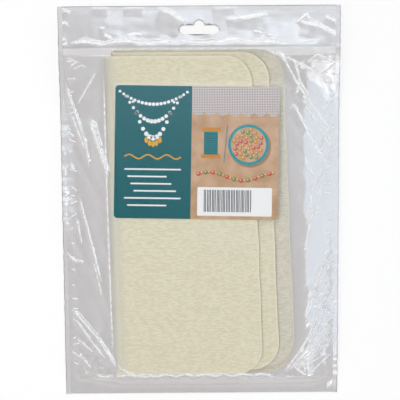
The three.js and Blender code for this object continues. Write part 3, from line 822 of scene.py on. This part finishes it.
def matPly(matName, ply, kind, outerDepth, innerDepth, spacing):
    mat = mats[matName]
    run, share, edgeGap = matStations(mat, spacing)
    r = cut["corner"]
    trim = r - np.sqrt(np.clip(r ** 2 - np.clip(r - edgeGap, 0, None) ** 2, 0, None))
    ends = np.array([0, 0.25, 0.6, 1.1, 1.8, 3.0]) / cut["length"]
    inner = 4.5 / cut["length"]
    v = np.r_[ends, np.linspace(inner, 1 - inner, round(195 / spacing)), 1 - ends[::-1]]
    y = mix(trim[:, None], cut["length"] - trim[:, None], v)
    # distance to the cut edge, for the pinch that the die leaves
    gx, gy = edgeGap[:, None] + 0 * y, np.minimum(y, cut["length"] - y)
    qx, qy = np.clip(r - gx, 0, None), np.clip(r - gy, 0, None)
    toEdge = np.maximum(np.where((qx > 0) & (qy > 0), r - np.hypot(qx, qy), np.minimum(gx, gy)), 0)
    squeeze = 1 - cut["pinch"] * np.exp(-(toEdge / cut["pinchReach"]) ** 2)
    flatX = run[:, None] * np.where(share[:, None] > 0.5, 1, -1)
    sway = 0.09 * swell(flatX, y, 30.0, mat["seed"]) + 0.04 * swell(flatX, y, 9.0, mat["seed"] + 1)
    wander = 0.45 * swell(np.sign(flatX) * 50, y, 34.0, mat["seed"] + 2) * ease(40, 0, edgeGap)[:, None]
    turn = -pi / 2 - pi * share[:, None]
    lifted = y + mat["bottom"] + mat["skew"] * (1 - share[:, None])

    def face(depth):
        middle = cut["thick"] / 2
        radius = mat["radius"] - (middle + (depth - middle) * squeeze) + sway
        px = mat["foldX"] + mat["radius"] + run[:, None] + wander + radius * np.cos(turn)
        return np.stack([px - bag["lean"] * lifted, lifted, foldLevel + radius * np.sin(turn)], -1)

    piece = closedSheet(matName + "_" + ply, face(innerDepth), face(outerDepth), gridFaces(*y.shape)[:, ::-1],
                        matLooks[kind])
    # a painted highlight along each leaf's cut edge, fading within about a millimetre
    rim = np.exp(-(toEdge / cut["rimHighlightReach"]) ** 2)
    piece.data.attributes.new("rim", "FLOAT", "POINT").data.foreach_set("value", np.tile(rim.ravel(), 2))
    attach(piece, matName + "_mat")
    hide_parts(matName + "_mat_" + ply)
    return piece


for matName in mats:
    for ply, kind, outerDepth, innerDepth in plies:
        piece = matPly(matName, ply, kind, outerDepth, innerDepth, 1.9 if kind in ("pile", "lining") else 3.2)
print("mats ready")

# insert card: a bleached board with a made-up print, measured from the card's middle
board = {"centre": (-2.19, 30.35), "turn": radians(-1.2), "top": 10.85, "half": (52.35, 42.4), "corner": 2.25,
         "split": -3.4, "layer": 0.02, "ink": 0.014}

# solid bleached board, clay coated and printed by offset: smooth and satin, with a trace of paper tooth,
# drawn coarser than real
satin = {"span": (0.32, 0.68), "bump": 0.08, "deep": 0.02, "rough": (0.3, 0.42), "ior": 1.5, "gloss": 0.12}


def inkMaterial(name, dark, light, grain=0.9):
    material, add, spot = newMaterial(name)
    tooth = add("TexNoise", {"Vector": spot, "Scale": 1 / (grain * mm), "Detail": 3.0})
    return patterned(material, add, tooth, satin | {"low": dark, "high": light})


# printed weave: a plain cloth of two threads in the same satin ink, smooth because it is only printed
weave = satin | {"low": "#b9adac", "high": "#e2dad5", "pitch": 1.6, "span": (0.05, 0.45), "bump": 0.0,
                 "rough": (0.42, 0.34)}
wobble = {"Distortion": 0.6, "Detail Scale": 2.0}
material, add, spot = newMaterial("offset ink, lilac weave")
threads = [bands(add, spot, weave["pitch"], way, **wobble) for way in ("X", "Y")]
cross = add("Math", {0: threads[0], 1: threads[1]}, operation="MULTIPLY")
inks = {
    "board": inkMaterial("clay-coated bleached board", "#f3f2ee", "#fbfaf7"),
    "white": inkMaterial("bare coated board in the print", "#fbfbfb", "#ffffff"),
    "lilac": patterned(material, add, cross, weave),
}
tones = {
    "teal": ("teal", "#036066", "#066a6f"), "sand": ("sand halftone", "#c39b74", "#dab795", 9.0),
    "gold": ("gold yellow", "#e2a722", "#efbb3c"), "amber": ("amber", "#c58320", "#d99a34"),
    "coral": ("coral", "#c6503f", "#d8664f"), "olive": ("olive", "#7d7f3c", "#93954b"),
    "steel": ("steel grey", "#77797c", "#94979a"), "shade": ("brown shade", "#9c7b63", "#ab8a72"),
    "aqua": ("light teal", "#1f9198", "#2ba4ab"), "black": ("black", "#101012", "#1b1b1e"),
}
for key, (name, *look) in tones.items():
    inks[key] = inkMaterial("offset ink, " + name, *look)


def disc(u, v, r, steps=20, squash=1.0):
    t = np.linspace(0, 2 * pi, steps, endpoint=False)
    return np.stack([u + r * np.cos(t), v + r * squash * np.sin(t)], -1)


def bar(u0, v0, u1, v1):
    return np.array([(u0, v0), (u1, v0), (u1, v1), (u0, v1)], float)


def ribbon(line, width):
    line = np.asarray(line, float)
    run = np.gradient(line, axis=0)
    side = np.stack([-run[:, 1], run[:, 0]], -1) / np.linalg.norm(run, axis=1)[:, None] * width / 2
    ends = zip(line[:-1], line[1:], side[:-1], side[1:])
    return [np.array([a - p, b - q, b + q, a + p]) for a, b, p, q in ends]


# convex patches of one ink, each fanned from its middle, in one thin layer
def printInk(name, ink, patches, layer):
    points, faces = [], []
    for patch in patches:
        start, n = sum(map(len, points)), len(patch)
        points.append(np.concatenate([patch, patch.mean(0)[None]]))
        faces += [(start + k, start + (k + 1) % n, start + n) for k in range(n)]
    flat = np.concatenate(points)
    c, s = cos(board["turn"]), sin(board["turn"])
    x = board["centre"][0] + flat[:, 0] * c - flat[:, 1] * s
    y = board["centre"][1] + flat[:, 0] * s + flat[:, 1] * c
    level = board["top"] + layer * board["layer"] - board["ink"] / 2
    low = np.stack([x, y, np.full(len(x), level)], -1)
    piece = closedSheet("print_" + name, low, low + np.array([0, 0, board["ink"]]), faces, inks[ink])
    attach(piece, "card")


# a bar whose named corners are round: a to d counterclockwise from the bottom left
def cornered(u0, v0, u1, v1, corners, r=board["corner"], steps=8):
    points = []
    for name, cu, cv, start in (("a", u0, v0, 180), ("b", u1, v0, 270), ("c", u1, v1, 0), ("d", u0, v1, 90)):
        if name in corners:
            mu, mv = cu + (r if cu == u0 else -r), cv + (r if cv == v0 else -r)
            points += arc(mu, mv, r, radians(start), radians(start + 90), steps + 1)
        else:
            points.append((cu, cv))
    return np.array(points)


halfU, halfV = board["half"]
split = board["split"]
printInk("teal_panel", "teal", [cornered(-halfU, -halfV, split, halfV, "ad")], 1)
printInk("sand_panel", "sand", [cornered(split, -halfV, halfU, halfV, "bc")], 1)
# woven band with a scalloped hem
u = np.linspace(split, halfU, 113)
hem = 26.0 - 2.4 * np.abs(np.sin(pi * (u - split) / (halfU - split) * 7))
r = board["corner"]
curve = halfV - r + np.sqrt(np.clip(r ** 2 - (u - halfU + r) ** 2, 0, None))
roof = np.where(u > halfU - r, curve, halfV)
low, high = np.stack([u, hem], -1), np.stack([u, roof], -1)
printInk("woven_band", "lilac", list(np.stack([low[:-1], low[1:], high[1:], high[:-1]], 1)), 2)
# strands of round beads across the teal, with drops on the longest
tealU = -27.9
longest = 23.0
strands, drops = [], []
for sag, top, count, reach in ((8.0, 37.5, 19, 21.5), (16.0, 34.5, 16, 17.5), (longest, 31.0, 13, 13.0)):
    for k in range(count):
        t = 2 * k / (count - 1) - 1
        u, v = tealU + reach * t, top - sag * (1 - t * t)
        strands.append(disc(u, v + 1.0, 0.9 + 0.8 * (1 - abs(t)) * sag / longest))
        if sag == longest and abs(t) < 0.4:
            drops.append(disc(u, v - 2.9, 1.15, squash=1.7))
printInk("strand_beads", "white", strands, 2)
printInk("strand_drops", "gold", drops, 2)
wave = [(-46 + 36 * t, -3.0 + 1.3 * sin(t * 6 * pi)) for t in np.linspace(0, 1, 73)]
printInk("gold_wave", "gold", ribbon(wave, 0.8), 2)
rules = []
for k in range(6):
    start, end = tealU - 18 + 2.0 * (k * 5 % 4), tealU + 18 - 3.0 * (k * 3 % 4)
    rules.append(bar(start, -11.5 - 4.6 * k, end, -10.5 - 4.6 * k))
printInk("pale_rules", "white", rules, 2)
# dish of loose beads, a thread spool, a needle and a strung row
dish = (33.0, 5.5)
printInk("dish_shade", "shade", [disc(dish[0] + 1.0, dish[1] - 1.2, 13.4, 48)], 2)
printInk("dish_rim", "aqua", [disc(*dish, 13.0, 48)], 3)
printInk("dish_well", "sand", [disc(*dish, 11.2, 48)], 4)
loose = {"amber": [], "coral": [], "olive": []}
heap, goldenTurn = 34, 2.39996  # the heap winds out like the seeds of a sunflower
for k in range(heap):
    r, t = 10.0 * sqrt((k + 0.5) / heap), k * goldenTurn
    bead = disc(dish[0] + r * cos(t), dish[1] + r * sin(t), 1.35)
    loose[("amber", "coral", "amber", "olive")[k % 4]].append(bead)
row = [(1.5 + 47.5 * t, -15.0 + 2.6 * sin(t * 2.2 * pi + 0.6)) for t in np.linspace(0, 1, 22)]
for k, (u, v) in enumerate(row):
    loose[("coral", "amber", "olive", "amber")[k % 4]].append(disc(u, v, 1.05 if k % 2 else 1.4))
for ink, patches in loose.items():
    printInk("loose_" + ink, ink, patches, 5)
middles = [q.mean(0) for patches in loose.values() for q in patches]
glints = [disc(u - 0.35, v + 0.4, 0.38, 10) for u, v in middles]
printInk("bead_glints", "white", glints, 6)
printInk("row_thread", "steel", ribbon(row, 0.35), 3)
printInk("spool_ends", "amber", [bar(3.0, 13.5, 15.0, 16.0), bar(3.0, -3.5, 15.0, -1.0)], 3)
printInk("spool_thread", "teal", [bar(4.6, -1.0 + 1.2 * k, 13.4, -0.15 + 1.2 * k) for k in range(12)], 4)
printInk("spool_core", "aqua", [bar(4.6, -1.0, 13.4, 13.5)], 3)
printInk("needle", "steel", ribbon([(17.5, -6.0), (19.6, 18.5)], 0.7), 3)
# price label: bars in a plain rhythm that stands for no number
printInk("label", "white", [cornered(0.8, -40.2, 48.4, -21.9, "abcd", 0.8)], 4)
code, u = [], 5.0
for k in range(30):
    thick = (0.5, 0.9, 0.5, 1.3)[(k * k + 3 * k) % 4]
    code.append(bar(u, -37.6, u + thick, -23.6))
    u += thick + (0.4, 0.75, 0.4)[k % 3]
printInk("label_bars", "black", code, 5)
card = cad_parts["insert_card"]
card.data.materials.clear()
card.data.materials.append(inks["board"])
print("card ready")
